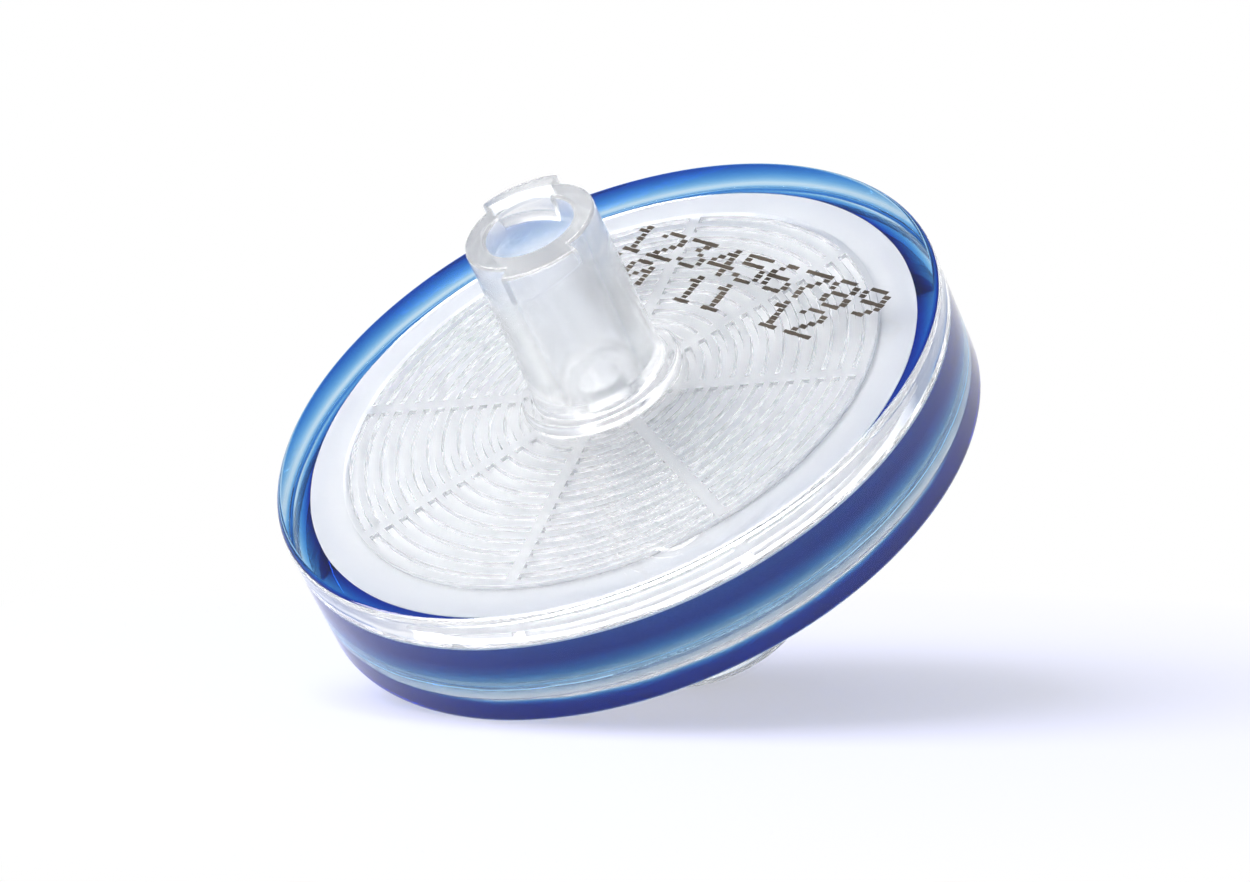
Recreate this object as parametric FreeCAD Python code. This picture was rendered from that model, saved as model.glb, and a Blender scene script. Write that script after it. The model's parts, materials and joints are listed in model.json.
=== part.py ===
import FreeCAD, Part

import math
import os

# A 33 mm syringe filter: two clear moulded halves, a white membrane clamped between
# them, and a coloured ring that is injected into the channel between their edges and
# welds all three together.
#
# Every piece is drawn about the filter's own axis: z = 0 is the flat top of the disc,
# the inlet rises above it and the outlet hangs below.  At the end the whole filter is
# laid down as it rests on a bench, on the edge of the disc and the end of the outlet.
# All sizes are in millimetres and all angles in degrees.

# ---------------------------------------------------------------- disc
disc_radius = 16.5
disc_thickness = 6.1           # flat top to the foot of the rim
edge_rounding = 0.3

# ---------------------------------------------------------------- rim of the upper half
plate_thickness = 2.1          # flat top to the land that presses on the membrane
skirt_depth = 3.85             # flat top to the lower edge of the skirt
skirt_root_width = 1.4         # the skirt thins from its root to its lower edge
skirt_edge_width = 0.3

# ---------------------------------------------------------------- rim of the lower half
flange_gap = 0.12              # skirt to flange, where the ring shows at the outside
flange_chamfer_width = 0.15
flange_chamfer_height = 0.65
rim_foot = 0.45                # width of the rim's foot
rim_drop = 1.1                 # underside of the plate to the rim's foot
rim_bevel = 25.0               # slope from the foot up to the underside

# ---------------------------------------------------------------- membrane and chambers
membrane_thickness = 0.15
membrane_edge_clearance = 0.1  # membrane rim to the wall round it
grip_width = 0.9               # ledge of the ring under the membrane's rim
clamp_width = 0.9              # flat land of the lower half inside the ring
inlet_chamber_depth = 0.6      # roof down to the membrane
outlet_chamber_depth = 0.5     # membrane down to the floor

# ---------------------------------------------------------------- concentric ribs
roof_rib_pitch = 0.78
support_rib_pitch = 1.5
rib_root_width = 0.44
rib_tip_width = 0.30
rib_end_gap = 0.30             # outermost rib to the wall of the chamber
innermost_rib_radius = 3.0
roof_rib_height = 0.5
channel_count = 8
channel_width = 0.6
channel_turn = 9.0             # first radial channel, from +X

# ---------------------------------------------------------------- luer fittings
luer_taper = 0.06              # on the diameter, as the standard cone
mouth_diameter = 4.3           # female cone at its mouth
mouth_chamfer = 0.12
tip_diameter = 4.0             # male cone at its tip
tip_rounding = 0.15

# ---------------------------------------------------------------- inlet hub
hub_height = 9.2
hub_wall = 1.0                 # round the cone's mouth
hub_draft = 0.5                # degrees, wider towards the disc
hub_floor = 0.6                # bottom of the female cone above the disc's top
inlet_hole_radius = 1.1
foot_reach = 0.7               # beyond the hub
foot_height = 0.45
foot_fillet = 0.25

lug_reach = 0.75               # beyond the hub
lug_span = 56.0                # degrees of the circle
lug_turn = -52.0               # middle of the first lug, from +X
lug_height = 1.15              # in the middle of the lug
lug_rise = 0.75                # how far the underside climbs along the lug
lug_flank = 0.3                # how far the underside climbs from root to tip
lug_chamfer = 0.15

# ---------------------------------------------------------------- outlet
tip_reach = 11.1               # end of the male cone below the disc
outlet_bore_radius = 1.1
collar_reach = 9.0             # end of the locking collar below the disc
collar_inner_radius = 4.0
collar_wall = 0.9
collar_root = 2.6              # solid root of the collar below the disc
collar_rounding = 0.2
root_fillet = 0.5

# ---------------------------------------------------------------- derived levels
land = -plate_thickness
skirt_edge = -skirt_depth
flange = skirt_edge - flange_gap
flange_corner = flange - flange_chamfer_height
disc_bottom = -disc_thickness
underside = disc_bottom + rim_drop

skirt_root_radius = disc_radius - skirt_root_width
skirt_edge_radius = disc_radius - skirt_edge_width
flange_radius = disc_radius - flange_chamfer_width
foot_inner_radius = disc_radius - rim_foot
underside_radius = foot_inner_radius - rim_drop / math.tan(math.radians(rim_bevel))

membrane_top = land
membrane_bottom = membrane_top - membrane_thickness
membrane_radius = skirt_root_radius - membrane_edge_clearance
ring_inner_radius = skirt_root_radius - grip_width
chamber_radius = ring_inner_radius - clamp_width
roof = membrane_top + inlet_chamber_depth
floor = membrane_bottom - outlet_chamber_depth

taper_per_mm = luer_taper / 2  # change of radius along the axis
mouth_radius = mouth_diameter / 2
hub_radius = mouth_radius + hub_wall
lug_radius = hub_radius + lug_reach

tip_radius = tip_diameter / 2
tip_end = disc_bottom - tip_reach
collar_outer_radius = collar_inner_radius + collar_wall
collar_end = disc_bottom - collar_reach
collar_web = disc_bottom - collar_root

AXIS_START = FreeCAD.Vector(0, 0, 0)
UP = FreeCAD.Vector(0, 0, 1)


# ---------------------------------------------------------------- drawing helpers
def point(radius, level):
    """A point of a half section, which is drawn in the XZ plane."""
    return FreeCAD.Vector(radius, 0, level)


def rounded_corner(before, corner, after, radius):
    """Where the arc that rounds a corner starts, passes and ends."""
    to_before = (before - corner).normalize()
    to_after = (after - corner).normalize()
    half_angle = to_before.getAngle(to_after) / 2
    bisector = (to_before + to_after).normalize()
    run = radius / math.tan(half_angle)
    middle = radius / math.sin(half_angle) - radius
    return corner + to_before * run, corner + bisector * middle, corner + to_after * run


def section(corners):
    """A closed half section; each corner is (radius, level) or (radius, level, rounding)."""
    places = [point(corner[0], corner[1]) for corner in corners]
    edges = []
    starts = []
    ends = []
    for index, corner in enumerate(corners):
        here = places[index]
        if len(corner) == 3:
            following = places[(index + 1) % len(places)]
            start, middle, end = rounded_corner(places[index - 1], here, following, corner[2])
            edges.append(Part.Arc(start, middle, end).toShape())
        else:
            start, end = here, here
        starts.append(start)
        ends.append(end)
    for index, end in enumerate(ends):
        following = starts[(index + 1) % len(starts)]
        if end.distanceToPoint(following) > 1e-7:
            edges.append(Part.makeLine(end, following))
    return Part.Face(Part.Wire(Part.__sortEdges__(edges)))


def turned(corners, angle=360.0):
    """A solid of revolution about the filter's axis."""
    return section(corners).revolve(AXIS_START, UP, angle)


# ---------------------------------------------------------------- ribs of a chamber
def rib_radii(pitch):
    """Centre radii of the concentric ribs, from the chamber's wall inwards."""
    radii = []
    radius = chamber_radius - rib_end_gap - rib_root_width / 2
    while radius > innermost_rib_radius:
        radii.append(radius)
        radius -= pitch
    return radii


def channels(low, high):
    """Radial channels that cut across the ribs; each bar makes two of them."""
    bars = []
    for index in range(channel_count // 2):
        corner = FreeCAD.Vector(-chamber_radius, -channel_width / 2, low)
        bar = Part.makeBox(2 * chamber_radius, channel_width, high - low, corner)
        bar.rotate(AXIS_START, UP, channel_turn + index * 360.0 / channel_count)
        bars.append(bar)
    return bars


def ribs(root, tip, pitch):
    """Tapered concentric ribs from the chamber's wall at root to their tips, with gaps
    where the radial channels pass."""
    rings = []
    for radius in rib_radii(pitch):
        rings.append(turned([
            (radius - rib_root_width / 2, root),
            (radius + rib_root_width / 2, root),
            (radius + rib_tip_width / 2, tip),
            (radius - rib_tip_width / 2, tip),
        ]))
    return Part.makeCompound(rings).cut(channels(min(root, tip), max(root, tip)))


# ---------------------------------------------------------------- the four pieces
def lug():
    """One locking lug at the mouth of the inlet; its underside climbs like a thread."""
    inside = hub_radius - lug_chamfer
    low = hub_height - 2 * lug_height
    bar = turned([
        (inside, hub_height),
        (lug_radius - lug_chamfer, hub_height),
        (lug_radius, hub_height - lug_chamfer),
        (lug_radius, low),
        (inside, low),
    ], lug_span)
    bar.rotate(AXIS_START, UP, -lug_span / 2)
    size = 4 * lug_radius
    below = Part.makeBox(size, size, size, FreeCAD.Vector(-size / 2, -size / 2, -size))
    lug_length = 2 * lug_radius * math.sin(math.radians(lug_span / 2))
    below.rotate(AXIS_START, FreeCAD.Vector(1, 0, 0), math.degrees(math.atan(lug_rise / lug_length)))
    below.rotate(AXIS_START, FreeCAD.Vector(0, 1, 0), -math.degrees(math.atan(lug_flank / lug_reach)))
    below.translate(point(lug_radius, hub_height - lug_height))
    return bar.cut(below)


def inlet_housing():
    """Upper half: flat plate with a skirt, female luer hub with two lugs, ribbed roof."""
    hub_foot_radius = hub_radius + (hub_height - foot_height) * math.tan(math.radians(hub_draft))
    foot_radius = hub_radius + foot_reach
    cone_depth = hub_height - hub_floor
    cone_end_radius = mouth_radius - cone_depth * taper_per_mm
    body = turned([
        (inlet_hole_radius, roof),
        (chamber_radius, roof),
        (chamber_radius, land),
        (skirt_root_radius, land),
        (skirt_edge_radius, skirt_edge),
        (disc_radius, skirt_edge),
        (disc_radius, 0, edge_rounding),
        (foot_radius, 0, foot_fillet),
        (foot_radius, foot_height, foot_fillet / 2),
        (hub_foot_radius, foot_height, foot_fillet),
        (hub_radius, hub_height, mouth_chamfer),
        (mouth_radius + mouth_chamfer, hub_height),
        (mouth_radius, hub_height - mouth_chamfer),
        (cone_end_radius, hub_floor),
        (inlet_hole_radius, hub_floor),
    ])
    first_lug = lug()
    first_lug.rotate(AXIS_START, UP, lug_turn)
    second_lug = first_lug.copy()
    second_lug.rotate(AXIS_START, UP, 180)
    roof_ribs = ribs(roof, roof - roof_rib_height, roof_rib_pitch)
    return body.fuse([first_lug, second_lug, roof_ribs]).removeSplitter()


def outlet_housing():
    """Lower half: ribbed support, flange and rim, male luer cone in its locking collar."""
    cone_root_radius = tip_radius + (collar_web - tip_end) * taper_per_mm
    body = turned([
        (outlet_bore_radius, floor),
        (chamber_radius, floor),
        (chamber_radius, membrane_bottom),
        (ring_inner_radius, membrane_bottom),
        (ring_inner_radius, flange),
        (flange_radius, flange),
        (disc_radius, flange_corner),
        (disc_radius, disc_bottom, edge_rounding),
        (foot_inner_radius, disc_bottom),
        (underside_radius, underside),
        (collar_outer_radius, underside, root_fillet),
        (collar_outer_radius, collar_end, collar_rounding),
        (collar_inner_radius, collar_end, collar_rounding),
        (collar_inner_radius, collar_web),
        (cone_root_radius, collar_web),
        (tip_radius, tip_end, tip_rounding),
        (outlet_bore_radius, tip_end, tip_rounding),
    ])
    support_ribs = ribs(floor, membrane_bottom, support_rib_pitch)
    return body.fuse(support_ribs).removeSplitter()


def membrane():
    """A plain disc of porous film."""
    return Part.makeCylinder(membrane_radius, membrane_thickness, point(0, membrane_bottom))


def weld_ring():
    """Fills the channel between skirt and flange and grips the membrane's rim."""
    return turned([
        (ring_inner_radius, flange),
        (flange_radius, flange),
        (disc_radius, flange_corner),
        (disc_radius, skirt_edge),
        (skirt_edge_radius, skirt_edge),
        (skirt_root_radius, land),
        (skirt_root_radius, membrane_bottom),
        (ring_inner_radius, membrane_bottom),
    ])


# ---------------------------------------------------------------- resting on a bench
def lean_onto(end_radius, end_level, end_rounding):
    """Lean at which the disc's lower edge and a rounded end of the outlet both touch the
    bench, as the angle of their common tangent from square across the axis."""
    across = (disc_radius - edge_rounding) - (end_radius - end_rounding)
    along = (disc_bottom + edge_rounding) - (end_level + end_rounding)
    span = math.hypot(across, along)
    return math.degrees(math.atan2(along, across) - math.asin((edge_rounding - end_rounding) / span))


def resting_lean():
    """The filter comes to rest on whichever end of the outlet the bench meets first."""
    on_collar = lean_onto(collar_outer_radius, collar_end, collar_rounding)
    on_tip = lean_onto(tip_radius, tip_end, tip_rounding)
    return max(on_collar, on_tip)


def lay_down(shapes, lean):
    """Lean the inlet towards -Y, set the lowest points on z = 0 and centre the box."""
    slope = math.radians(lean)
    edge_centre = disc_radius - edge_rounding
    lowest = -edge_centre * math.sin(slope) + (disc_bottom + edge_rounding) * math.cos(slope) - edge_rounding
    front = -edge_centre * math.cos(slope) + edge_rounding * math.sin(slope) - edge_rounding
    back = edge_centre * math.cos(slope) - (disc_bottom + edge_rounding) * math.sin(slope) + edge_rounding
    for shape in shapes.values():
        shape.rotate(AXIS_START, FreeCAD.Vector(1, 0, 0), lean)
        shape.translate(FreeCAD.Vector(0, -(front + back) / 2, -lowest))


pieces = {
    "inlet_housing": inlet_housing(),
    "membrane": membrane(),
    "outlet_housing": outlet_housing(),
    "weld_ring": weld_ring(),
}
lean = resting_lean()
lay_down(pieces, lean)

os.makedirs("parts", exist_ok=True)
for name, shape in pieces.items():
    shape.exportStep("parts/" + name + ".step")
    box = shape.optimalBoundingBox(False)
    print(name, "valid", shape.isValid(), "solids", len(shape.Solids), "volume", round(shape.Volume, 2),
          "y", round(box.YMin, 3), round(box.YMax, 3), "z", round(box.ZMin, 3), round(box.ZMax, 3))
print("lean", round(lean, 3))
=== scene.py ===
# %% [markdown]
# # A clear disc filter, made as a lesson
#
# A syringe filter is two clear plastic mouldings with a white membrane between them and a
# blue ring that welds their edges. Nearly everything that makes it look the way it does
# happens inside the plastic: the ring is seen through a clear skirt, mirrored in the rim
# and bent by the flat top. So the lesson is mostly about building the inside truthfully,
# and then letting light do the painting.
#
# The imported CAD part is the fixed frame. Four of the pieces made here stand in for its four
# nodes, in the same place and inside the same box, only smoother and in their real
# materials. The fifth is the print.

# %% Load the frame
import json
import math

import bmesh
import bpy
from mathutils import Matrix, Vector


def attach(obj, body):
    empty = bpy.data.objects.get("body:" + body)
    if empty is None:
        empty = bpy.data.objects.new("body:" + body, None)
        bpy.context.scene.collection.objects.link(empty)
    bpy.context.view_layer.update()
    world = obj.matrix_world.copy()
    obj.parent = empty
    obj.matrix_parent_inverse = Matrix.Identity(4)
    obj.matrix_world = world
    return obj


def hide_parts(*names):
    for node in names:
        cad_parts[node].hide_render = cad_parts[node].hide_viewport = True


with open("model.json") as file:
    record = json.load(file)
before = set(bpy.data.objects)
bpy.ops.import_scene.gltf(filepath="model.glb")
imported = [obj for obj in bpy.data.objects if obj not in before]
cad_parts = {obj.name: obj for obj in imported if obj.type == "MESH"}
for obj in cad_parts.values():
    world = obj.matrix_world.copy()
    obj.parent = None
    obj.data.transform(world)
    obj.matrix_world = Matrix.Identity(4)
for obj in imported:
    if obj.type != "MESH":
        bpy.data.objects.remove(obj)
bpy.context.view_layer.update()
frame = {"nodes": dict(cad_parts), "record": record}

print("frame:", ", ".join(sorted(frame["nodes"])))

# %% [markdown]
# ## A frame of its own for the filter
#
# The filter lies leaning on the bench, but it is turned work, so it is far easier to draw
# upright. All the sizes below are in millimetres about the filter's own axis, with level 0
# at the flat top of the disc. The inlet's mount says where that axis runs and which way it
# points, so one matrix lays every finished mesh down in its place.

# %% Lay-down matrix
MM = 0.001
INLET_MOUNT_LEVEL = 4.84                # middle of the female cone above the flat top

inlet = next(mount for mount in frame["record"]["mounts"] if mount["name"] == "inlet_luer")
AXIS = Vector(inlet["axis"]).normalized()
TOP = Vector(inlet["pos_m"]) - AXIS * INLET_MOUNT_LEVEL * MM
SIDE = Vector((1, 0, 0))
LAY_DOWN = Matrix.Translation(TOP) @ Matrix((SIDE, AXIS.cross(SIDE), AXIS)).transposed().to_4x4()
LAY_DOWN = LAY_DOWN @ Matrix.Scale(MM, 4)
print("axis leans", round(math.degrees(AXIS.angle(Vector((0, 0, 1)))), 2), "degrees")

# %% [markdown]
# ## Sizes that pieces share
#
# These are the radii and levels at which one piece meets another, so they are stated once.
# Levels count down from the flat top. They repeat the CAD part, except for three that steer
# the light inside the ring: the skirt's inner face is slightly hollow, the flange's top
# climbs towards the middle, and its outer edge lies 0.05 mm further in. They were tuned by
# trial until the bands of blue fell where they should.

# %% Shared sizes in millimetres
DISC_RADIUS = 16.5
CHAMBER_RADIUS = 13.3
BORE_RADIUS = 1.1
EDGE_ROUNDING = 0.3

ROOF = -1.5                             # top of the chamber
LAND = -2.1                             # where the upper half presses on the membrane
MEMBRANE_BOTTOM = -2.25
FLOOR = -2.75                           # bottom of the chamber

SKIRT_ROOT_RADIUS = 15.1
SKIRT_HOLLOW_RADIUS = 15.45             # its inner face is slightly hollow at this level
SKIRT_HOLLOW = -3.0
SKIRT_HOLLOW_ROUNDING = 1.5
SKIRT_EDGE_RADIUS = 16.2
SKIRT_EDGE = -3.85

RING_INNER_RADIUS = 14.2
FLANGE_RADIUS = 16.3
FLANGE = -3.97
FLANGE_CROWN = -3.55                    # its top climbs a little towards the middle
FLANGE_CORNER = -4.62

SEGMENTS = 256                          # round every turned surface
FIRST_CHANNEL = 9.0                     # degrees; also where the segments start
print("the ring shows over", round(SKIRT_EDGE - FLANGE_CORNER, 2), "mm of the side")

# %% [markdown]
# ## Sums on sockets
#
# Materials and geometry rules are both sums over positions. Written node by node they are
# long and hard to read, so this small class lets a socket be used in an ordinary Python
# expression: each operator adds one Math node.

# %% A socket that can be used in sums
def operator(operation, swapped=False):
    """A method that makes one Math node from its two values."""
    def method(self, other):
        first, second = (other, self) if swapped else (self, other)
        return self.graph.math(operation, first, second)
    return method


class Value:
    """An output socket that can be used in sums."""

    def __init__(self, graph, socket):
        self.graph = graph
        self.socket = socket

    __add__ = operator("ADD")
    __radd__ = operator("ADD", swapped=True)
    __sub__ = operator("SUBTRACT")
    __rsub__ = operator("SUBTRACT", swapped=True)
    __mul__ = operator("MULTIPLY")
    __rmul__ = operator("MULTIPLY", swapped=True)
    __truediv__ = operator("DIVIDE")
    __rtruediv__ = operator("DIVIDE", swapped=True)
    __mod__ = operator("FLOORED_MODULO")
    __gt__ = operator("GREATER_THAN")
    __lt__ = operator("LESS_THAN")


print("a Value can be used with + - * / % > and <")

# %% [markdown]
# The other nodes all come from one method, which takes the kind of node, its settings, and
# the value or link of each input. A plain number becomes the input's value and a Value
# becomes a link, so a call reads the same either way.

# %% A graph that makes the nodes
class Graph:
    """Adds nodes to a shader or geometry tree."""

    def __init__(self, tree):
        self.tree = tree

    def node(self, kind, inputs=None, out=0, **settings):
        """A new node. Gives the output named or numbered out, or the node if it has none."""
        node = self.tree.nodes.new(kind)
        for name, setting in settings.items():
            setattr(node, name, setting)
        for name, value in (inputs or {}).items():
            self.connect(value, node.inputs[name])
        return Value(self, node.outputs[out]) if node.outputs else node

    def connect(self, value, socket):
        if isinstance(value, Value):
            self.tree.links.new(value.socket, socket)
        elif socket.type == "INT":
            socket.default_value = int(value)
        else:
            socket.default_value = value

    def math(self, operation, *values, clamp=False):
        return self.node("ShaderNodeMath", dict(enumerate(values)), operation=operation, use_clamp=clamp)

    def clamp(self, value):
        return self.math("ADD", value, 0.0, clamp=True)

    def vector(self, x, y, z):
        return self.node("ShaderNodeCombineXYZ", {"X": x, "Y": y, "Z": z})

    def round_axis(self, radius, angle, level):
        """The place at this radius, angle and level."""
        return self.vector(radius * self.math("COSINE", angle), radius * self.math("SINE", angle), level)

    def mix(self, factor, first, second):
        """A colour between two others."""
        node = self.tree.nodes.new("ShaderNodeMix")
        node.data_type = "RGBA"
        colours = [socket for socket in node.inputs if socket.type == "RGBA"]
        self.connect(factor, node.inputs["Factor"])
        self.connect(first, colours[0])
        self.connect(second, colours[1])
        return Value(self, next(socket for socket in node.outputs if socket.type == "RGBA"))


trial = bpy.data.node_groups.new("trial", "ShaderNodeTree")
trial_sum = 1.0 - Graph(trial).node("ShaderNodeValue") / 2.0
last_step = trial_sum.socket.node.operation.lower()
print("1 - value / 2 makes", len(trial.nodes), "nodes, the last to", last_step)
bpy.data.node_groups.remove(trial)

# %% [markdown]
# ## Turned surfaces
#
# A moulding like this is a lathe profile. Each corner of a profile is (radius, level,
# rounding). Two things make clear plastic harder than painted plastic. First, refraction
# shows the smallest error in a surface normal, so each straight run gets a holding point
# just inside both ends, which keeps it truly flat or truly conical between its roundings.
# Second, the two halves are welded to the ring, and where plastic is fused to plastic
# there is no surface to see, so those runs are marked as welds and let light straight
# through.

# %% Profiles
HOLD = 0.02                             # holding points this far from the ends of a run
STEPS = 5                               # points along a rounding


def rounded(corners):
    """The points of a profile, with arcs at its rounded corners and holding points."""
    places = [Vector(corner[:2]) for corner in corners]
    points = []
    for index, corner in enumerate(corners):
        here = places[index]
        rounding = corner[2] if len(corner) == 3 else 0
        if rounding == 0:
            bend = [here]
        else:
            before = (places[index - 1] - here).normalized()
            after = (places[index + 1] - here).normalized()
            half_angle = before.angle(after) / 2
            centre = here + (before + after).normalized() * rounding / math.sin(half_angle)
            start = here + before * rounding / math.tan(half_angle) - centre
            end = here + after * rounding / math.tan(half_angle) - centre
            bend = [centre + start.slerp(end, step / STEPS).normalized() * rounding
                    for step in range(STEPS + 1)]
        if points:
            run = bend[0] - points[-1]
            hold = run.normalized() * min(HOLD, run.length / 4)
            points += [points[-1] + hold, bend[0] - hold]
        points += bend
    return points


print("a corner with a rounding becomes", STEPS + 1, "points, and each straight run gets two more")

# %% [markdown]
# A profile is swept round the axis in even steps. A Screw modifier would do that too, but it
# sweeps one profile only, and here a profile may change on its way round.

# %% Turning
POLISHED, WELD, SATIN, SOFT = range(4)  # material slots of a clear piece


def angles():
    """The angles of the turned surfaces' segments, once round."""
    return [math.radians(FIRST_CHANNEL + 360 * step / SEGMENTS) for step in range(SEGMENTS)]


def turned(mesh, corners_at, slot=POLISHED):
    """Turns a profile that may change on its way round. corners_at holds pairs of an angle
    and its corners, and two pairs may share an angle to make a step."""
    columns = []
    for angle, corners in corners_at:
        around = Vector((math.cos(angle), math.sin(angle)))
        columns.append([mesh.verts.new((around.x * point.x, around.y * point.x, point.y))
                        for point in rounded(corners)])
    for left, right in zip(columns, columns[1:] + columns[:1]):
        for row in range(len(left) - 1):
            face = mesh.faces.new((left[row], right[row], right[row + 1], left[row + 1]))
            face.material_index = slot


def plain(corners):
    """The same corners at every angle."""
    return [(angle, corners) for angle in angles()]


print("each segment spans", 360 / SEGMENTS, "degrees, or",
      round(2 * math.pi * DISC_RADIUS / SEGMENTS, 2), "mm at the rim")

# %% [markdown]
# ## Finishing a piece
#
# Every piece is drawn upright in millimetres, welded where its patches meet, and then laid
# down. Its upright position is kept as an attribute, so a material can still work round
# the filter's own axis after the piece has been laid down.

# %% From mesh to finished piece
SHARP = math.radians(30)                # edges that turn more than this stay crisp
MERGE_WITHIN = 2e-4                     # points this close become one
NO_LENGTH = 1e-5                        # edges this short are taken out


def finish_piece(name, mesh, materials, node=None):
    """Closes the mesh, lays it down, and lets it stand in for a node of the CAD part."""
    bmesh.ops.remove_doubles(mesh, verts=mesh.verts, dist=MERGE_WITHIN)
    bmesh.ops.dissolve_degenerate(mesh, edges=mesh.edges, dist=NO_LENGTH)
    bmesh.ops.recalc_face_normals(mesh, faces=mesh.faces)
    open_edges = sum(1 for edge in mesh.edges if len(edge.link_faces) != 2)
    data = bpy.data.meshes.new(name)
    mesh.to_mesh(data)
    mesh.free()
    for material in materials:
        data.materials.append(material)
    upright = data.attributes.new("upright", "FLOAT_VECTOR", "POINT")
    for vertex in data.vertices:
        upright.data[vertex.index].vector = vertex.co
    data.transform(LAY_DOWN)
    data.polygons.foreach_set("use_smooth", [True] * len(data.polygons))
    data.set_sharp_from_angle(angle=SHARP)
    piece = bpy.data.objects.new(name, data)
    bpy.context.collection.objects.link(piece)
    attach(piece, "root")
    if node:
        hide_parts(node)
    print(name, len(data.polygons), "faces,", open_edges, "open edges")
    return piece


print("pieces are laid down", round(TOP.z / MM, 2), "mm above the bench, at the flat top")

# %% [markdown]
# ## Materials
#
# Every material starts as an empty tree with an output, and nearly all of them hang one
# Principled shader on it. Those two steps are worth a function each.

# %% Starting a material
def new_material(name):
    """An empty material, the graph that fills it, and its output node."""
    material = bpy.data.materials.new(name)
    material.use_nodes = True
    material.node_tree.nodes.clear()
    graph = Graph(material.node_tree)
    output = graph.tree.nodes.new("ShaderNodeOutputMaterial")
    return material, graph, output


def principled(graph, output, inputs):
    """A Principled shader on the material's surface."""
    shader = graph.node("ShaderNodeBsdfPrincipled", inputs)
    graph.connect(shader, output.inputs["Surface"])


print(len(bpy.data.materials), "materials came with the frame")

# %% [markdown]
# The clear plastic is a polished dielectric. Real mouldings are never optically perfect:
# the surface has a faint pull from the way it shrank in the mould, so there is a very low
# bump and a little haze that comes and goes. The chambers and the hub have a satin finish
# instead, which spreads the light that passes through them and so looks white, not glassy.
# Fused faces get a material that is wholly passed by.

# %% Clear plastics
CLEAR_IOR = 1.52
CLEAR_TINT = (0.98, 0.99, 1.0, 1)
SATIN_ROUGHNESS = 0.5                   # ribs, chambers, thread and the flat underside
SOFT_ROUGHNESS = 0.2                    # hub, cone and bore


def clear_plastic():
    material, graph, output = new_material("polished_clear")
    upright = graph.node("ShaderNodeAttribute", out="Vector", attribute_name="upright")
    shrink = graph.node("ShaderNodeTexNoise", {"Vector": upright, "Scale": 0.35, "Detail": 1.0})
    haze = graph.node("ShaderNodeTexNoise", {"Vector": upright, "Scale": 1.6, "Detail": 3.0})
    bump = graph.node("ShaderNodeBump", {"Strength": 0.06, "Distance": 0.0004, "Height": shrink})
    principled(graph, output, {
        "Base Color": CLEAR_TINT,
        "Roughness": 0.01 + 0.05 * graph.clamp((haze - 0.5) * 2.0),
        "IOR": CLEAR_IOR,
        "Transmission Weight": 1.0,
        "Normal": bump,
    })
    return material


def satin_plastic(name, roughness):
    material, graph, output = new_material(name)
    upright = graph.node("ShaderNodeAttribute", out="Vector", attribute_name="upright")
    grain = graph.node("ShaderNodeTexNoise", {"Vector": upright, "Scale": 3.0, "Detail": 3.0})
    principled(graph, output, {
        "Base Color": CLEAR_TINT,
        "Roughness": roughness * (0.85 + 0.3 * grain),
        "IOR": CLEAR_IOR,
        "Transmission Weight": 1.0,
    })
    return material


def weld_face():
    material, graph, output = new_material("fused")
    principled(graph, output, {"Alpha": 0.0, "IOR": CLEAR_IOR, "Transmission Weight": 1.0})
    return material


CLEAR = clear_plastic()
CLEAR_SLOTS = [
    CLEAR,
    weld_face(),
    satin_plastic("satin_clear", SATIN_ROUGHNESS),
    satin_plastic("soft_clear", SOFT_ROUGHNESS),
]
print("slots of a clear piece:", ", ".join(material.name for material in CLEAR_SLOTS))

# %% [markdown]
# The ring's plastic is the same clear stuff with a dye in it. Dye takes away a share of
# the light for each millimetre it crosses, and much more of the red than of the blue, so
# thin edges are cyan, a millimetre is bright blue and two are a deep blue. That can only
# come from absorption in the volume. Its surface shows only where the ring reaches the
# open air; elsewhere it is fused to its neighbours.

# %% Dyed plastic
DYE_PER_M = (4900.0, 2250.0, 690.0)     # absorption of red, green and blue
DYE_DENSITY = 5000.0


def blue_plastic():
    material, graph, output = new_material("dyed_blue")
    outside = graph.node("ShaderNodeAttribute", out="Fac", attribute_name="outside")
    principled(graph, output, {
        "Base Color": (1, 1, 1, 1),
        "Roughness": 0.02,
        "IOR": CLEAR_IOR,
        "Transmission Weight": 1.0,
        "Alpha": outside,
    })
    dye = graph.node("ShaderNodeVolumeAbsorption", {
        "Color": tuple(1 - rate / DYE_DENSITY for rate in DYE_PER_M) + (1,),
        "Density": DYE_DENSITY,
    })
    graph.connect(dye, output.inputs["Volume"])
    return material


BLUE = blue_plastic()
print("red, green and blue left after 1 mm:", [round(math.exp(-rate * MM), 2) for rate in DYE_PER_M])

# %% [markdown]
# The membrane is a cast porous film: dead matt, very white, and slightly uneven where the
# pores scatter more or less. The light that soaks into it comes out on both sides.

# %% Membrane
THROUGH_SHARE = 0.5                     # of the light soaks through the sheet


def white_membrane():
    material, graph, output = new_material("porous_white")
    upright = graph.node("ShaderNodeAttribute", out="Vector", attribute_name="upright")
    grain = graph.node("ShaderNodeTexNoise", {"Vector": upright, "Scale": 9.0, "Detail": 4.0})
    cloud = graph.node("ShaderNodeTexNoise", {"Vector": upright, "Scale": 0.4, "Detail": 2.0})
    bump = graph.node("ShaderNodeBump", {"Strength": 0.2, "Distance": 0.00002, "Height": grain})
    tone = graph.mix(graph.clamp(cloud), (0.93, 0.94, 0.95, 1), (0.97, 0.97, 0.97, 1))
    skin = graph.node("ShaderNodeBsdfPrincipled", {
        "Base Color": tone,
        "Roughness": 0.9,
        "Specular IOR Level": 0.2,
        "Normal": bump,
    })
    through = graph.node("ShaderNodeBsdfTranslucent", {"Color": (0.95, 0.95, 0.95, 1)})
    sheet = graph.node("ShaderNodeMixShader", {0: THROUGH_SHARE, 1: skin, 2: through})
    graph.connect(sheet, output.inputs["Surface"])
    return material


WHITE = white_membrane()
print(WHITE.name, "lets", THROUGH_SHARE, "of the light through")

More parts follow.
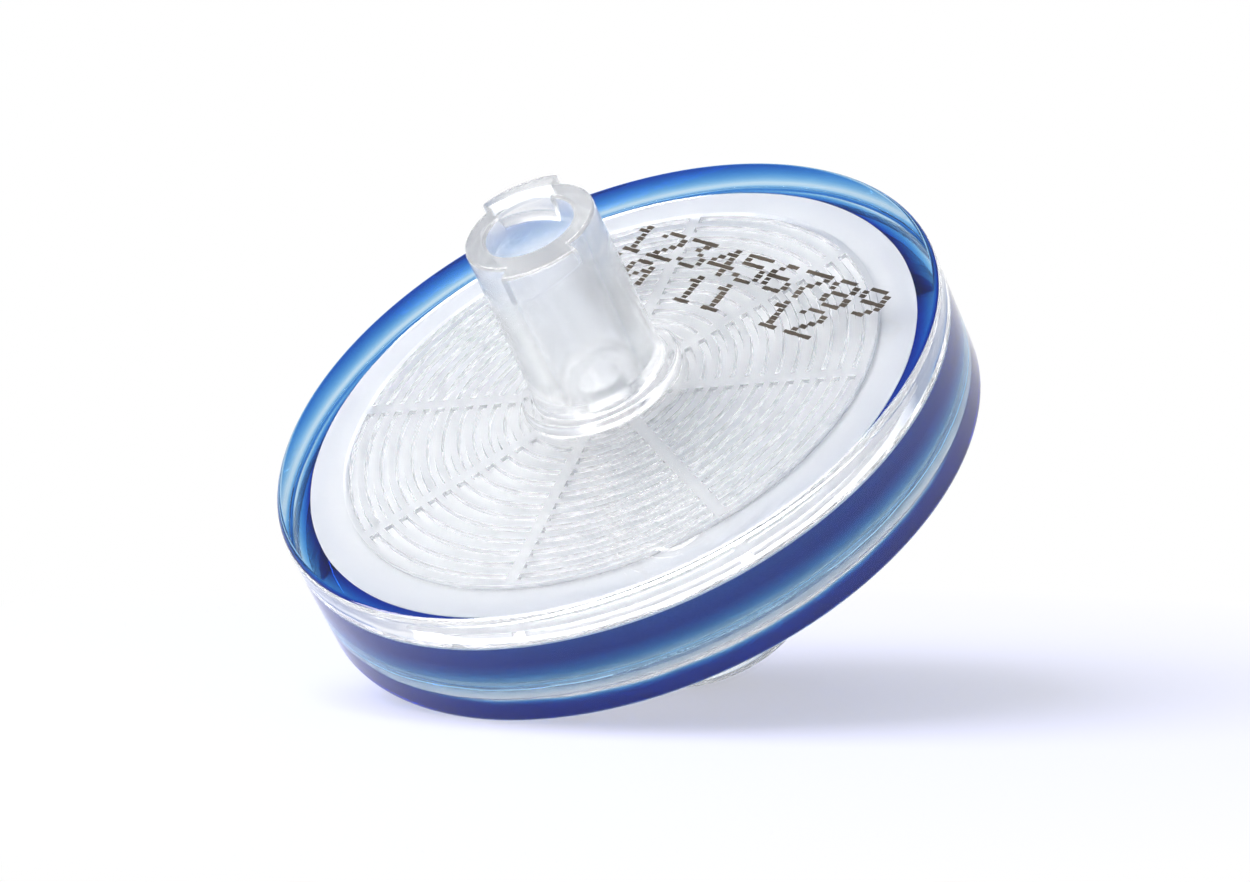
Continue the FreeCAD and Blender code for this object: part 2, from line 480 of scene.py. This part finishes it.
# %% [markdown]
# ## Shapes that follow a rule
#
# Ribs, thread and print all repeat, so each is a geometry node tree with named inputs. The
# trees begin and end alike: a material and some numbers come in, and the last two nodes
# make the geometry real and give it the material.

# %% Beginning and ending a geometry tree
def begun_tree(name, inputs):
    """The graph of a new geometry tree, and the values that come into it by name."""
    tree = bpy.data.node_groups.new(name, "GeometryNodeTree")
    tree.interface.new_socket("Geometry", in_out="OUTPUT", socket_type="NodeSocketGeometry")
    tree.interface.new_socket("Geometry", in_out="INPUT", socket_type="NodeSocketGeometry")
    tree.interface.new_socket("Material", in_out="INPUT", socket_type="NodeSocketMaterial")
    for label, value in inputs.items():
        socket = tree.interface.new_socket(label, in_out="INPUT", socket_type="NodeSocketFloat")
        socket.default_value = value
    graph = Graph(tree)
    group = tree.nodes.new("NodeGroupInput")
    return graph, {socket.name: Value(graph, socket) for socket in group.outputs}


def ended_tree(graph, given, geometry):
    """The tree, once this geometry is what comes out of it."""
    real = graph.node("GeometryNodeRealizeInstances", {"Geometry": geometry})
    coloured = graph.node("GeometryNodeSetMaterial", {"Geometry": real, "Material": given["Material"]})
    output = graph.tree.nodes.new("NodeGroupOutput")
    graph.connect(coloured, output.inputs["Geometry"])
    print(graph.tree.name, "has", len(graph.tree.nodes), "nodes")
    return graph.tree


print("geometry trees before the first of ours:", len(bpy.data.node_groups))

# %% [markdown]
# The chamber's roof is covered with concentric ribs, cut by eight radial channels. It could
# be drawn as rings with slots cut out by booleans, but the result would be a tangle of
# slivers. Seen as a rule it is simple: one polar grid whose rows sit exactly on the edges
# of the ribs and whose columns sit exactly on the edges of the channels, lifted where both
# say so. The same tree makes the support ribs under the membrane with other inputs. This
# first function makes the grid; the rule comes after it.

# %% A tree that places a grid by a rule
COLUMNS = SEGMENTS + 1                  # the last lies on top of the first
SAME_POINT = 1e-5                       # and is merged with it within this distance


def grid_tree(name, inputs, rule):
    """A tree that makes a grid of rows and columns and puts each point where rule says."""
    graph, given = begun_tree(name, inputs)
    index = graph.node("GeometryNodeInputIndex")
    column = index % float(COLUMNS)
    row = graph.math("FLOOR", (index + 0.5) / float(COLUMNS))
    rows, place = rule(graph, given, row, column)
    grid = graph.node("GeometryNodeMeshGrid", {"Vertices X": rows, "Vertices Y": COLUMNS})
    moved = graph.node("GeometryNodeSetPosition", {"Geometry": grid, "Position": place})
    closed = graph.node("GeometryNodeMergeByDistance", {"Geometry": moved, "Distance": SAME_POINT})
    return ended_tree(graph, given, closed)


print("a grid has", COLUMNS, "columns")

# %% [markdown]
# A rib takes four rows: root, tip, tip, root. One row more runs along the bore and one along
# the chamber's wall. Round the filter the columns are shared out over the sectors between
# the channels. In each sector the first column runs along the middle of a channel. The next
# two share one angle, at the foot and at the top of the ribs' ends, and so do the last two.

# %% The rule of the ribs
RIB_INPUTS = {
    "Inner radius": BORE_RADIUS,
    "Outer radius": CHAMBER_RADIUS,
    "Base level": ROOF,
    "Rib height": -0.5,
    "Ribs": 13.0,
    "Pitch": 0.78,
    "Root width": 0.44,
    "Tip width": 0.30,
    "End gap": 0.30,
    "Channels": 8.0,
    "Channel width": 0.6,
    "Turn": FIRST_CHANNEL,
}
ROWS_PER_RIB = 4
DEGREE = math.pi / 180


def rib_radius(graph, given, row):
    """The number of rows, a row's radius, and whether it lies on a rib and on its tip."""
    ribs = given["Ribs"]
    rows = ribs * ROWS_PER_RIB + 2.0
    rib = graph.math("FLOOR", (row - 0.5) / ROWS_PER_RIB)
    edge = (row - 1.0) % ROWS_PER_RIB - 1.5          # -1.5, -0.5, 0.5, 1.5 across a rib
    on_tip = graph.math("ABSOLUTE", edge) < 1.0
    half_width = (given["Root width"] * (1.0 - on_tip) + given["Tip width"] * on_tip) / 2.0
    outermost = given["Outer radius"] - given["End gap"] - given["Root width"] / 2.0
    centre = outermost - (ribs - 1.0 - rib) * given["Pitch"]
    edge_radius = centre + graph.math("SIGN", edge) * half_width
    is_first = row < 0.5
    is_last = row > rows - 1.5
    on_rib = 1.0 - is_first - is_last
    wall_radius = given["Inner radius"] * is_first + given["Outer radius"] * is_last
    return rows, edge_radius * on_rib + wall_radius, on_rib, on_tip


def rib_angle(graph, given, column, radius, on_rib):
    """A column's angle at this radius, and whether it lies clear of the channels."""
    per_sector = SEGMENTS / given["Channels"]
    sector = graph.math("FLOOR", (column + 0.5) / per_sector)
    step = column - sector * per_sector
    sector_angle = 2.0 * math.pi / given["Channels"]
    half_channel = graph.math("ARCSINE", given["Channel width"] / 2.0 / radius)
    along = graph.clamp((step - 2.0) / (per_sector - 4.0))
    in_sector = (half_channel + along * (sector_angle - 2.0 * half_channel)) * (step > 0.5)
    even = step / per_sector * sector_angle
    angle = sector * sector_angle + in_sector * on_rib + even * (1.0 - on_rib)
    is_clear = (step > 1.5) * (step < per_sector - 1.5)
    return angle + given["Turn"] * DEGREE, is_clear


def rib_rule(graph, given, row, column):
    """Where each point of the ribbed grid goes, and how many rows there are."""
    rows, radius, on_rib, on_tip = rib_radius(graph, given, row)
    angle, is_clear = rib_angle(graph, given, column, radius, on_rib)
    level = given["Base level"] + given["Rib height"] * is_clear * on_tip * on_rib
    return rows, graph.round_axis(radius, angle, level)


ribbed = grid_tree("concentric_ribs", RIB_INPUTS, rib_rule)

# %% [markdown]
# A tree only describes a shape. To turn it into faces, it is put on a holder for a moment,
# its inputs are set, and the evaluated mesh is kept.

# %% Grow the ribs
def grown(tree, inputs, material, points=()):
    """The evaluated mesh of a geometry tree with these inputs, started from these points."""
    seed_mesh = bpy.data.meshes.new(tree.name)
    seed_mesh.from_pydata(list(points), [], [])
    holder = bpy.data.objects.new(tree.name, seed_mesh)
    bpy.context.collection.objects.link(holder)
    modifier = holder.modifiers.new(tree.name, "NODES")
    modifier.node_group = tree
    for item in tree.interface.items_tree:
        if item.in_out == "INPUT" and item.name in inputs:
            modifier[item.identifier] = inputs[item.name]
        if item.in_out == "INPUT" and item.name == "Material":
            modifier[item.identifier] = material
    shown = holder.evaluated_get(bpy.context.evaluated_depsgraph_get())
    mesh = bpy.data.meshes.new_from_object(shown)
    holder.modifiers.remove(modifier)
    bpy.data.objects.remove(holder)
    print(tree.name, len(mesh.polygons), "faces")
    return mesh


def started_with(*parts):
    """A new piece that already holds these grown parts, all of them satin."""
    mesh = bmesh.new()
    for part in parts:
        mesh.from_mesh(part)
    for face in mesh.faces:
        face.material_index = SATIN
    return mesh


CLEARANCE = 0.01                        # the support ribs stop just under the membrane
SUPPORT_INPUTS = {
    "Base level": FLOOR,
    "Rib height": MEMBRANE_BOTTOM - FLOOR - CLEARANCE,
    "Ribs": 7.0,
    "Pitch": 1.5,
}
roof_ribs = grown(ribbed, {}, CLEAR)
support_ribs = grown(ribbed, SUPPORT_INPUTS, CLEAR)

# %% [markdown]
# ## The upper half
#
# The hub carries two locking lugs at its mouth. They could be added as blocks, but their
# undersides climb like a thread and have to blend into a round wall. So the profile itself
# has a lug in it, whose height changes on the way round, and outside the lugs the same
# points lie flat against the hub. Where a lug begins or ends, two profiles share one angle.

# %% The hub and its lugs
HUB_HEIGHT = 9.2
HUB_RADIUS = 3.15
HUB_FOOT_RADIUS = 3.226
FOOT_RADIUS = 3.85
FOOT_HEIGHT = 0.45
MOUTH_RADIUS = 2.15
MOUTH_CHAMFER = 0.12

LUG_STEPS = 40                          # segments that a lug spans
LUG_START = -63                         # first segment of the first lug
LUG_TALL, LUG_SHORT = 1.53, 0.78        # height at its two ends
LUG_REACH = 0.75
LUG_FLANK = 0.3
LUG_CHAMFER = 0.15
FLAT = 0.001                            # reach of the same points where there is no lug


def hub_corners(lug_height, reach):
    """The hub's outside from the disc up to its mouth."""
    root = HUB_HEIGHT - lug_height - LUG_FLANK
    draft = (HUB_FOOT_RADIUS - HUB_RADIUS) / HUB_HEIGHT
    return [
        (FOOT_RADIUS, 0, 0.25),
        (FOOT_RADIUS, FOOT_HEIGHT, 0.12),
        (HUB_FOOT_RADIUS, FOOT_HEIGHT, 0.2),
        (HUB_RADIUS + draft * (HUB_HEIGHT - root), root),
        (HUB_RADIUS + reach, root + LUG_FLANK, 0.1),
        (HUB_RADIUS + reach, HUB_HEIGHT, LUG_CHAMFER),
        (MOUTH_RADIUS + MOUTH_CHAMFER, HUB_HEIGHT, 0.05),
        (MOUTH_RADIUS, HUB_HEIGHT - MOUTH_CHAMFER),
    ]


def hub_columns():
    """The hub's profile at each angle, with a step at both ends of a lug."""
    columns = []
    for step, angle in enumerate(angles()):
        into_lug = (step - LUG_START) % (SEGMENTS // 2)
        height = LUG_TALL + (LUG_SHORT - LUG_TALL) * min(into_lug / LUG_STEPS, 1)
        outside = (angle, hub_corners(LUG_TALL if into_lug > LUG_STEPS else height, FLAT))
        inside = (angle, hub_corners(height, LUG_REACH))
        if into_lug == 0:
            columns += [outside, inside]
        elif into_lug == LUG_STEPS:
            columns += [inside, outside]
        elif into_lug < LUG_STEPS:
            columns += [inside]
        else:
            columns += [outside]
    return columns


print("each lug spans", round(LUG_STEPS * 360 / SEGMENTS, 1), "degrees and stands",
      2 * (HUB_RADIUS + LUG_REACH), "mm across")

# %% [markdown]
# The rest of the upper half is one walk along its skin: from the roof out along the land,
# down the inside of the skirt where it is fused to the ring, up the outside of the rim,
# over the flat top, up the hub, and down through the cone and the bore.

# %% Turn the upper half
CONE_END_RADIUS = 1.892
CONE_END = 0.6
HUB_PATCH_RADIUS = FOOT_RADIUS + 1      # the flat top changes here from polished to soft

land = [(CHAMBER_RADIUS, ROOF), (CHAMBER_RADIUS, LAND), (SKIRT_ROOT_RADIUS, LAND)]
skirt = [
    (SKIRT_ROOT_RADIUS, LAND),
    (SKIRT_HOLLOW_RADIUS, SKIRT_HOLLOW, SKIRT_HOLLOW_ROUNDING),
    (SKIRT_EDGE_RADIUS, SKIRT_EDGE),
    (DISC_RADIUS, SKIRT_EDGE),
]
rim = [(DISC_RADIUS, SKIRT_EDGE), (DISC_RADIUS, 0, EDGE_ROUNDING), (HUB_PATCH_RADIUS, 0)]
hub = [(angle, [(HUB_PATCH_RADIUS, 0)] + corners) for angle, corners in hub_columns()]
cone_and_bore = [
    (MOUTH_RADIUS, HUB_HEIGHT - MOUTH_CHAMFER),
    (CONE_END_RADIUS, CONE_END),
    (BORE_RADIUS, CONE_END),
    (BORE_RADIUS, ROOF),
]

upper = started_with(roof_ribs)
turned(upper, plain(land), POLISHED)
turned(upper, plain(skirt), WELD)
turned(upper, plain(rim), POLISHED)
turned(upper, hub, SOFT)
turned(upper, plain(cone_and_bore), SOFT)
inlet_shell = finish_piece("inlet_shell", upper, CLEAR_SLOTS, "inlet_housing")

# %% [markdown]
# ## The lower half
#
# The lower half carries the membrane on its support ribs, and a locking collar round its
# male cone. Inside the collar runs a two-start thread. It could be swept along a helix, but
# it is again simpler as a rule on a polar grid: the wall moves in wherever the climbing
# ridge passes, and eases back to plain wall near both ends.

# %% The collar's thread
COLLAR_INNER_RADIUS = 4.0
COLLAR_END = -15.1
COLLAR_WEB = -8.7                       # floor between the collar and the cone
PLAIN_WALL = 0.25                       # below the thread, at the collar's mouth
THREAD_INPUTS = {
    "Radius": COLLAR_INNER_RADIUS,
    "Ridge": 0.45,
    "Low": COLLAR_END + PLAIN_WALL,
    "High": COLLAR_WEB,
    "Lead": 5.0,
    "Starts": 2.0,
    "Ridge width": 0.95,
    "Flank": 0.3,
    "Run out": 0.8,
    "Turn": FIRST_CHANNEL,
}
THREAD_ROWS = 96.0


def thread_rule(graph, given, row, column):
    """Where each point of the threaded wall goes, and how many rows there are."""
    share = row / (THREAD_ROWS - 1.0)
    height = given["High"] - given["Low"]
    level = given["Low"] + share * height
    turns = column / float(SEGMENTS)
    spacing = given["Lead"] / given["Starts"]
    phase = (level - turns * given["Lead"]) % spacing
    off_crest = graph.math("ABSOLUTE", phase - spacing / 2.0)
    crest = graph.clamp((given["Ridge width"] / 2.0 - off_crest) / given["Flank"] + 0.5)
    rise = graph.clamp(share * height / given["Run out"])
    fall = graph.clamp((1.0 - share) * height / given["Run out"])
    radius = given["Radius"] - given["Ridge"] * crest * rise * fall
    angle = turns * (2.0 * math.pi) + given["Turn"] * DEGREE
    return THREAD_ROWS, graph.round_axis(radius, angle, level)


thread = grown(grid_tree("locking_thread", THREAD_INPUTS, thread_rule), {}, CLEAR)

# %% [markdown]
# The lower half's rim stands below the flat underside with a bevel inside it, and that bevel
# works like a mirror: a glance into the side of the disc is thrown up through the ring,
# which is why a second blue band shows under the first.

# %% Turn the lower half
DISC_BOTTOM = -6.1
RIM_FOOT_RADIUS = 16.05
UNDERSIDE = -5.0
UNDERSIDE_RADIUS = 13.69
COLLAR_RADIUS = 4.9
TIP_RADIUS = 2.0
TIP_END = -17.2
TIP_ROOT_RADIUS = 2.255
SATIN_OUTSIDE = UNDERSIDE_RADIUS - 0.2  # the underside is satin between these two radii
SATIN_INSIDE = COLLAR_RADIUS + 0.7

clamp_land = [
    (CHAMBER_RADIUS, FLOOR),
    (CHAMBER_RADIUS, MEMBRANE_BOTTOM),
    (RING_INNER_RADIUS, MEMBRANE_BOTTOM),
]
flange = [
    (RING_INNER_RADIUS, MEMBRANE_BOTTOM),
    (RING_INNER_RADIUS, FLANGE_CROWN),
    (FLANGE_RADIUS, FLANGE),
    (DISC_RADIUS, FLANGE_CORNER),
]
lower_rim = [
    (DISC_RADIUS, FLANGE_CORNER),
    (DISC_RADIUS, DISC_BOTTOM, EDGE_ROUNDING),
    (RIM_FOOT_RADIUS, DISC_BOTTOM, 0.05),
    (UNDERSIDE_RADIUS, UNDERSIDE, 0.3),
    (SATIN_OUTSIDE, UNDERSIDE),
]
underside = [(SATIN_OUTSIDE, UNDERSIDE), (SATIN_INSIDE, UNDERSIDE)]
collar = [
    (SATIN_INSIDE, UNDERSIDE),
    (COLLAR_RADIUS, UNDERSIDE, 0.5),
    (COLLAR_RADIUS, COLLAR_END, 0.2),
    (COLLAR_INNER_RADIUS, COLLAR_END, 0.2),
    (COLLAR_INNER_RADIUS, THREAD_INPUTS["Low"]),
]
male_cone = [
    (COLLAR_INNER_RADIUS, COLLAR_WEB),
    (TIP_ROOT_RADIUS, COLLAR_WEB, 0.2),
    (TIP_RADIUS, TIP_END, 0.15),
    (BORE_RADIUS, TIP_END, 0.15),
    (BORE_RADIUS, FLOOR),
]

lower = started_with(support_ribs, thread)
turned(lower, plain(clamp_land), SATIN)
turned(lower, plain(flange), WELD)
turned(lower, plain(lower_rim), POLISHED)
turned(lower, plain(underside), SATIN)
turned(lower, plain(collar), POLISHED)
turned(lower, plain(male_cone), POLISHED)
outlet_shell = finish_piece("outlet_shell", lower, CLEAR_SLOTS, "outlet_housing")

# %% [markdown]
# ## The ring
#
# The ring fills the channel between skirt and flange. Light keeps count of which volume it
# is in by the faces it crosses, so the ring's fused faces stand two thousandths of a
# millimetre inside its neighbours' and never quite coincide with them. Round its outside
# runs a hair-fine groove. It wanders a little, so its level is a sum of a few waves, each a
# whole number of times round.

# %% The ring's profile
SHY = 0.002                             # how far the ring's fused faces stand back
GROOVE_LEVEL = -4.05
GROOVE_DEPTH = 0.03
GROOVE_WAVES = ((7, 0.03), (17, 0.018), (41, 0.01))     # times round, height

fused_faces = [
    (DISC_RADIUS, FLANGE_CORNER + SHY),
    (FLANGE_RADIUS, FLANGE + SHY),
    (RING_INNER_RADIUS + SHY, FLANGE_CROWN + SHY),
    (RING_INNER_RADIUS + SHY, MEMBRANE_BOTTOM - SHY),
    (SKIRT_ROOT_RADIUS, MEMBRANE_BOTTOM - SHY),
    (SKIRT_ROOT_RADIUS, LAND - 2 * SHY),
    (SKIRT_HOLLOW_RADIUS - SHY, SKIRT_HOLLOW, SKIRT_HOLLOW_ROUNDING),
    (SKIRT_EDGE_RADIUS, SKIRT_EDGE - SHY),
    (DISC_RADIUS, SKIRT_EDGE - SHY),
]


def open_face(angle):
    """The ring's outside with its groove, from top to bottom."""
    waves = sum(height * math.sin(count * (angle + 1)) for count, height in GROOVE_WAVES)
    level = GROOVE_LEVEL + waves
    return [
        fused_faces[-1],
        (DISC_RADIUS, level + GROOVE_DEPTH),
        (DISC_RADIUS - GROOVE_DEPTH, level),
        (DISC_RADIUS, level - GROOVE_DEPTH),
        fused_faces[0],
    ]


dyed = bmesh.new()
turned(dyed, plain(fused_faces))
turned(dyed, [(angle, open_face(angle)) for angle in angles()])
ring = finish_piece("blue_ring", dyed, [BLUE], "weld_ring")

# %% [markdown]
# The dyed plastic has a surface only where it meets the air. One number for each face says
# whether it is such a face, and the material reads it.

# %% Where the ring meets the air
outside = ring.data.attributes.new("outside", "FLOAT", "FACE")
for face in ring.data.polygons:
    centre = LAY_DOWN.inverted() @ face.center
    outside.data[face.index].value = float(math.hypot(centre.x, centre.y) > DISC_RADIUS - GROOVE_DEPTH)
print(sum(int(mark.value) for mark in outside.data), "of the ring's faces meet the air")

# %% [markdown]
# ## The membrane
#
# The membrane lies between the halves, a hair clear of both, so that no two faces coincide.
# Its radius is 0.08 mm more than in the CAD part, which was tuned by trial as well.

# %% The membrane's sheet
MEMBRANE_RADIUS = 15.08
HAIR = 0.006                            # from each half
SHEET_TOP = LAND - HAIR
SHEET_BOTTOM = MEMBRANE_BOTTOM + HAIR

sheet = bmesh.new()
turned(sheet, plain([
    (0.0, SHEET_TOP),
    (MEMBRANE_RADIUS, SHEET_TOP),
    (MEMBRANE_RADIUS, SHEET_BOTTOM),
    (0.0, SHEET_BOTTOM),
]))
membrane_sheet = finish_piece("membrane_sheet", sheet, [WHITE], "membrane")

# %% [markdown]
# ## A printed count
#
# The flat top is printed by an ink-jet as the filter travels past its nozzles. Seven
# nozzles make the rows of each character, and the travel draws every drop out into a
# short dash. The lines here only count from one to twelve. Each character is a small
# pattern, and the pattern gives the places of its drops.

# %% Places of the drops
PATTERNS = {
    "0": ".###. #...# #..## #.#.# ##..# #...# .###.",
    "1": "..#.. .##.. ..#.. ..#.. ..#.. ..#.. .###.",
    "2": ".###. #...# ....# ...#. ..#.. .#... #####",
    "3": "##### ...#. ..#.. ...#. ....# #...# .###.",
    "4": "...#. ..##. .#.#. #..#. ##### ...#. ...#.",
    "5": "##### #.... ####. ....# ....# #...# .###.",
    "6": "..##. .#... #.... ####. #...# #...# .###.",
    "7": "##### ....# ...#. ..#.. .#... .#... .#...",
    "8": ".###. #...# #...# .###. #...# #...# .###.",
    "9": ".###. #...# #...# .#### ....# ...#. .##..",
}
PRINTED_LINES = [                       # text, left end of its middle row
    ("123456789", (-4.3, 10.6)),
    ("10 11 12", (-5.05, 8.55)),
]
PRINT_DIRECTION = -16.0                 # degrees from the X axis
CHARACTER_PITCH = 1.99
DROP_PITCH = 0.34                       # along the line
NOZZLE_PITCH = 0.28                     # across it
MIDDLE_NOZZLE = 3
SLANT = -0.15
INK_LEVEL = 0.008


def drop_places(text, start):
    """Where the drops of one printed line land."""
    angle = math.radians(PRINT_DIRECTION)
    along = Vector((math.cos(angle), math.sin(angle)))
    across = along.orthogonal()
    for place, character in enumerate(text):
        for row, dots in enumerate(PATTERNS.get(character, "").split()):
            height = (MIDDLE_NOZZLE - row) * NOZZLE_PITCH
            for column, dot in enumerate(dots):
                if dot == "#":
                    shift = place * CHARACTER_PITCH + column * DROP_PITCH + SLANT * height
                    point = Vector(start) + along * shift + across * height
                    yield point.x, point.y, INK_LEVEL


places = [point for text, start in PRINTED_LINES for point in drop_places(text, start)]
print(len(places), "drops of ink")

# %% [markdown]
# Every drop is the same dash, so this is work for instances: a geometry tree sets a dash on
# each place and makes each a little larger or smaller, by a fixed seed.

# %% A tree that sets the drops
DROP_INPUTS = {"Length": 0.4, "Width": 0.24, "Thickness": 0.012, "Direction": PRINT_DIRECTION}
SMALLEST_DROP, LARGEST_DROP = 0.8, 1.08
DROP_SEED = 7


def drops_tree():
    """A tree that sets a dash of ink on every point."""
    graph, given = begun_tree("ink_drops", DROP_INPUTS)
    size = graph.vector(given["Length"], given["Width"], given["Thickness"])
    dash = graph.node("GeometryNodeMeshCube", {"Size": size})
    limits = {2: SMALLEST_DROP, 3: LARGEST_DROP, "Seed": DROP_SEED}
    varied = graph.node("FunctionNodeRandomValue", limits, out=1)
    drops = graph.node("GeometryNodeInstanceOnPoints", {
        "Points": given["Geometry"],
        "Instance": dash,
        "Rotation": graph.vector(0.0, 0.0, given["Direction"] * DEGREE),
        "Scale": graph.vector(varied, varied, 1.0),
    })
    return ended_tree(graph, given, drops)


ink_drops = drops_tree()

# %% [markdown]
# The ink is a dull dark brown, a little paler here and there.

# %% Ink
FRESH_INK = (0.03, 0.024, 0.018, 1)
FADED_INK = (0.08, 0.065, 0.05, 1)


def brown_ink():
    material, graph, output = new_material("brown_ink")
    upright = graph.node("ShaderNodeAttribute", out="Vector", attribute_name="upright")
    fading = graph.node("ShaderNodeTexNoise", {"Vector": upright, "Scale": 0.5, "Detail": 2.0})
    tone = graph.mix(graph.clamp((fading - 0.35) * 2.5), FRESH_INK, FADED_INK)
    principled(graph, output, {"Base Color": tone, "Roughness": 0.7, "Specular IOR Level": 0.1})
    return material


INK = brown_ink()
inked = bmesh.new()
inked.from_mesh(grown(ink_drops, {}, INK, places))
for face in inked.faces:
    face.material_index = 0
printed_count = finish_piece("printed_count", inked, [INK])

# %% [markdown]
# ## Surroundings
#
# Clear plastic looks like whatever it reflects and bends, so its surroundings are chosen
# with care. The floor's colour holds painted shade and painted blue light: it is darker than
# white paper, so that the floor close under the object looks shaded, also where the rim
# mirrors it, and blue, for the light that the blue ring would cast into the shadow. It is
# lifted to a white backdrop where it is seen straight, in a mirror face or through the plastic.
# Close under the object the lift is only partial, so the shadow stays, and the painted grey
# and blue show there too.

# %% Floor
FLOOR_REACH = 2.0
# painted shade and painted blue light: darker and bluer than the real white paper
PAPER_PAINTED_BLUE_SHADE = (0.46, 0.49, 0.8, 1)
BACKDROP = (1, 1, 1, 1)
BACKDROP_SHARE = 0.45                   # how far the floor is lifted close under the object
LIFT_START, LIFT_SPAN = 0.01, 0.045     # metres over which the lift grows to the full
SEEN_AS_BACKDROP = ("Is Camera Ray", "Is Glossy Ray", "Is Transmission Ray")


def floor_material():
    material, graph, output = new_material("floor")
    where = graph.node("ShaderNodeTexCoord", out="Object")
    apart = graph.node("ShaderNodeVectorMath", {0: where}, out="Value", operation="LENGTH")
    far = graph.clamp((apart - LIFT_START) / LIFT_SPAN)
    path = graph.tree.nodes.new("ShaderNodeLightPath")
    straight, mirrored, through = (Value(graph, path.outputs[name]) for name in SEEN_AS_BACKDROP)
    # the floor's diffuse face, in the paper colour with its painted shade and blue
    paper_painted_blue_shade = graph.node("ShaderNodeBsdfPrincipled", {"Base Color": PAPER_PAINTED_BLUE_SHADE, "Roughness": 0.9})
    white = graph.node("ShaderNodeEmission", {"Color": BACKDROP, "Strength": 1.0})
    lift = BACKDROP_SHARE + (1.0 - BACKDROP_SHARE) * far
    share = graph.clamp((straight + mirrored) * lift + through)
    surface = graph.node("ShaderNodeMixShader", {0: share, 1: paper_painted_blue_shade, 2: white})
    graph.connect(surface, output.inputs["Surface"])
    return material


floor_corners = [
    (-FLOOR_REACH, -FLOOR_REACH, 0),
    (FLOOR_REACH, -FLOOR_REACH, 0),
    (FLOOR_REACH, FLOOR_REACH, 0),
    (-FLOOR_REACH, FLOOR_REACH, 0),
]
floor_mesh = bpy.data.meshes.new("floor")
floor_mesh.from_pydata(floor_corners, [], [(0, 1, 2, 3)])
floor_mesh.materials.append(floor_material())
bench = bpy.data.objects.new("floor", floor_mesh)
bpy.context.collection.objects.link(bench)
print("the floor reaches", FLOOR_REACH, "m each way")

# %% [markdown]
# The world is white at the horizon and dims to a blue grey overhead, which keeps the flat
# top from mirroring white.

# %% World
HORIZON = (1, 1, 1, 1)
CEILING = (0.32, 0.38, 0.52, 1)
RISE_START, RISE_SPAN = 0.15, 0.45      # heights over which the one turns into the other

world = bpy.data.worlds.new("studio")
bpy.context.scene.world = world
world.use_nodes = True
world.node_tree.nodes.clear()
sky = Graph(world.node_tree)
direction = sky.node("ShaderNodeTexCoord", out="Generated")
height = sky.node("ShaderNodeSeparateXYZ", {"Vector": direction}, out="Z")
rise = sky.clamp((height - RISE_START) / RISE_SPAN)
colour = sky.mix(rise, HORIZON, CEILING)
background = sky.node("ShaderNodeBackground", {"Color": colour, "Strength": 1.0})
sky_output = world.node_tree.nodes.new("ShaderNodeOutputWorld")
sky.connect(background, sky_output.inputs["Surface"])
print("the world has", len(world.node_tree.nodes), "nodes")

# %% [markdown]
# One square lamp, high at the left front, gives the sparkle and the shadow. It is large
# beside the object, so the shadow is soft.

# %% Lamp
LAMP_SIZE = 0.2                         # metres
LAMP_ENERGY = 1.25                      # watts
LAMP_COLOUR = (1.0, 0.97, 0.93)
LAMP_DIRECTION = (-0.36, -0.44, 0.82)
LAMP_DISTANCE = 0.22                    # metres from the middle of the flat top

lamp_data = bpy.data.lights.new("softbox", "AREA")
lamp_data.size = LAMP_SIZE
lamp_data.energy = LAMP_ENERGY
lamp_data.color = LAMP_COLOUR
lamp = bpy.data.objects.new("softbox", lamp_data)
bpy.context.collection.objects.link(lamp)
lamp.location = TOP + Vector(LAMP_DIRECTION).normalized() * LAMP_DISTANCE
lamp.rotation_euler = (TOP - lamp.location).to_track_quat("-Z", "Y").to_euler()
print("the lamp hangs", round(lamp.location.z, 3), "m above the bench")

# %% [markdown]
# The camera looks almost level, so the leaning disc shows both its flat top and its rim. Its
# place is given by two angles and a distance from the middle of the flat top, and it is
# then shifted a little so that the whole object sits well in the picture.

# %% Camera
CAMERA_AZIMUTH = math.radians(35.67)
CAMERA_ELEVATION = math.radians(3.72)
CAMERA_DISTANCE = 0.2087                # metres
SHIFT_RIGHT, SHIFT_UP = 1.063 * MM, -2.797 * MM
LENS, SENSOR_WIDTH = 129.6, 36          # millimetres
CLIP_START = 0.01                       # metres

level_part = math.cos(CAMERA_ELEVATION)
right = Vector((math.cos(CAMERA_AZIMUTH), math.sin(CAMERA_AZIMUTH), 0))
back = Vector((level_part * right.y, -level_part * right.x, math.sin(CAMERA_ELEVATION)))
up = back.cross(right)

camera_data = bpy.data.cameras.new("camera")
camera_data.lens = LENS
camera_data.sensor_width = SENSOR_WIDTH
camera_data.clip_start = CLIP_START
camera = bpy.data.objects.new("camera", camera_data)
bpy.context.collection.objects.link(camera)
placed = Matrix((right, up, back)).transposed().to_4x4()
placed.translation = TOP + right * SHIFT_RIGHT + up * SHIFT_UP + back * CAMERA_DISTANCE
camera.matrix_world = placed
bpy.context.scene.camera = camera
print("the camera stands at", [round(place, 3) for place in placed.translation])

# %% [markdown]
# A ray may cross a dozen clear faces before it leaves the filter, so it is allowed many
# bounces. The view transform is the plain one, which keeps white white.

# %% Light paths and view
scene = bpy.context.scene
scene.view_settings.view_transform = "Standard"
scene.cycles.max_bounces = 32
scene.cycles.transmission_bounces = 32
scene.cycles.glossy_bounces = 16
scene.cycles.transparent_max_bounces = 48
print("a ray may bounce", scene.cycles.max_bounces, "times")
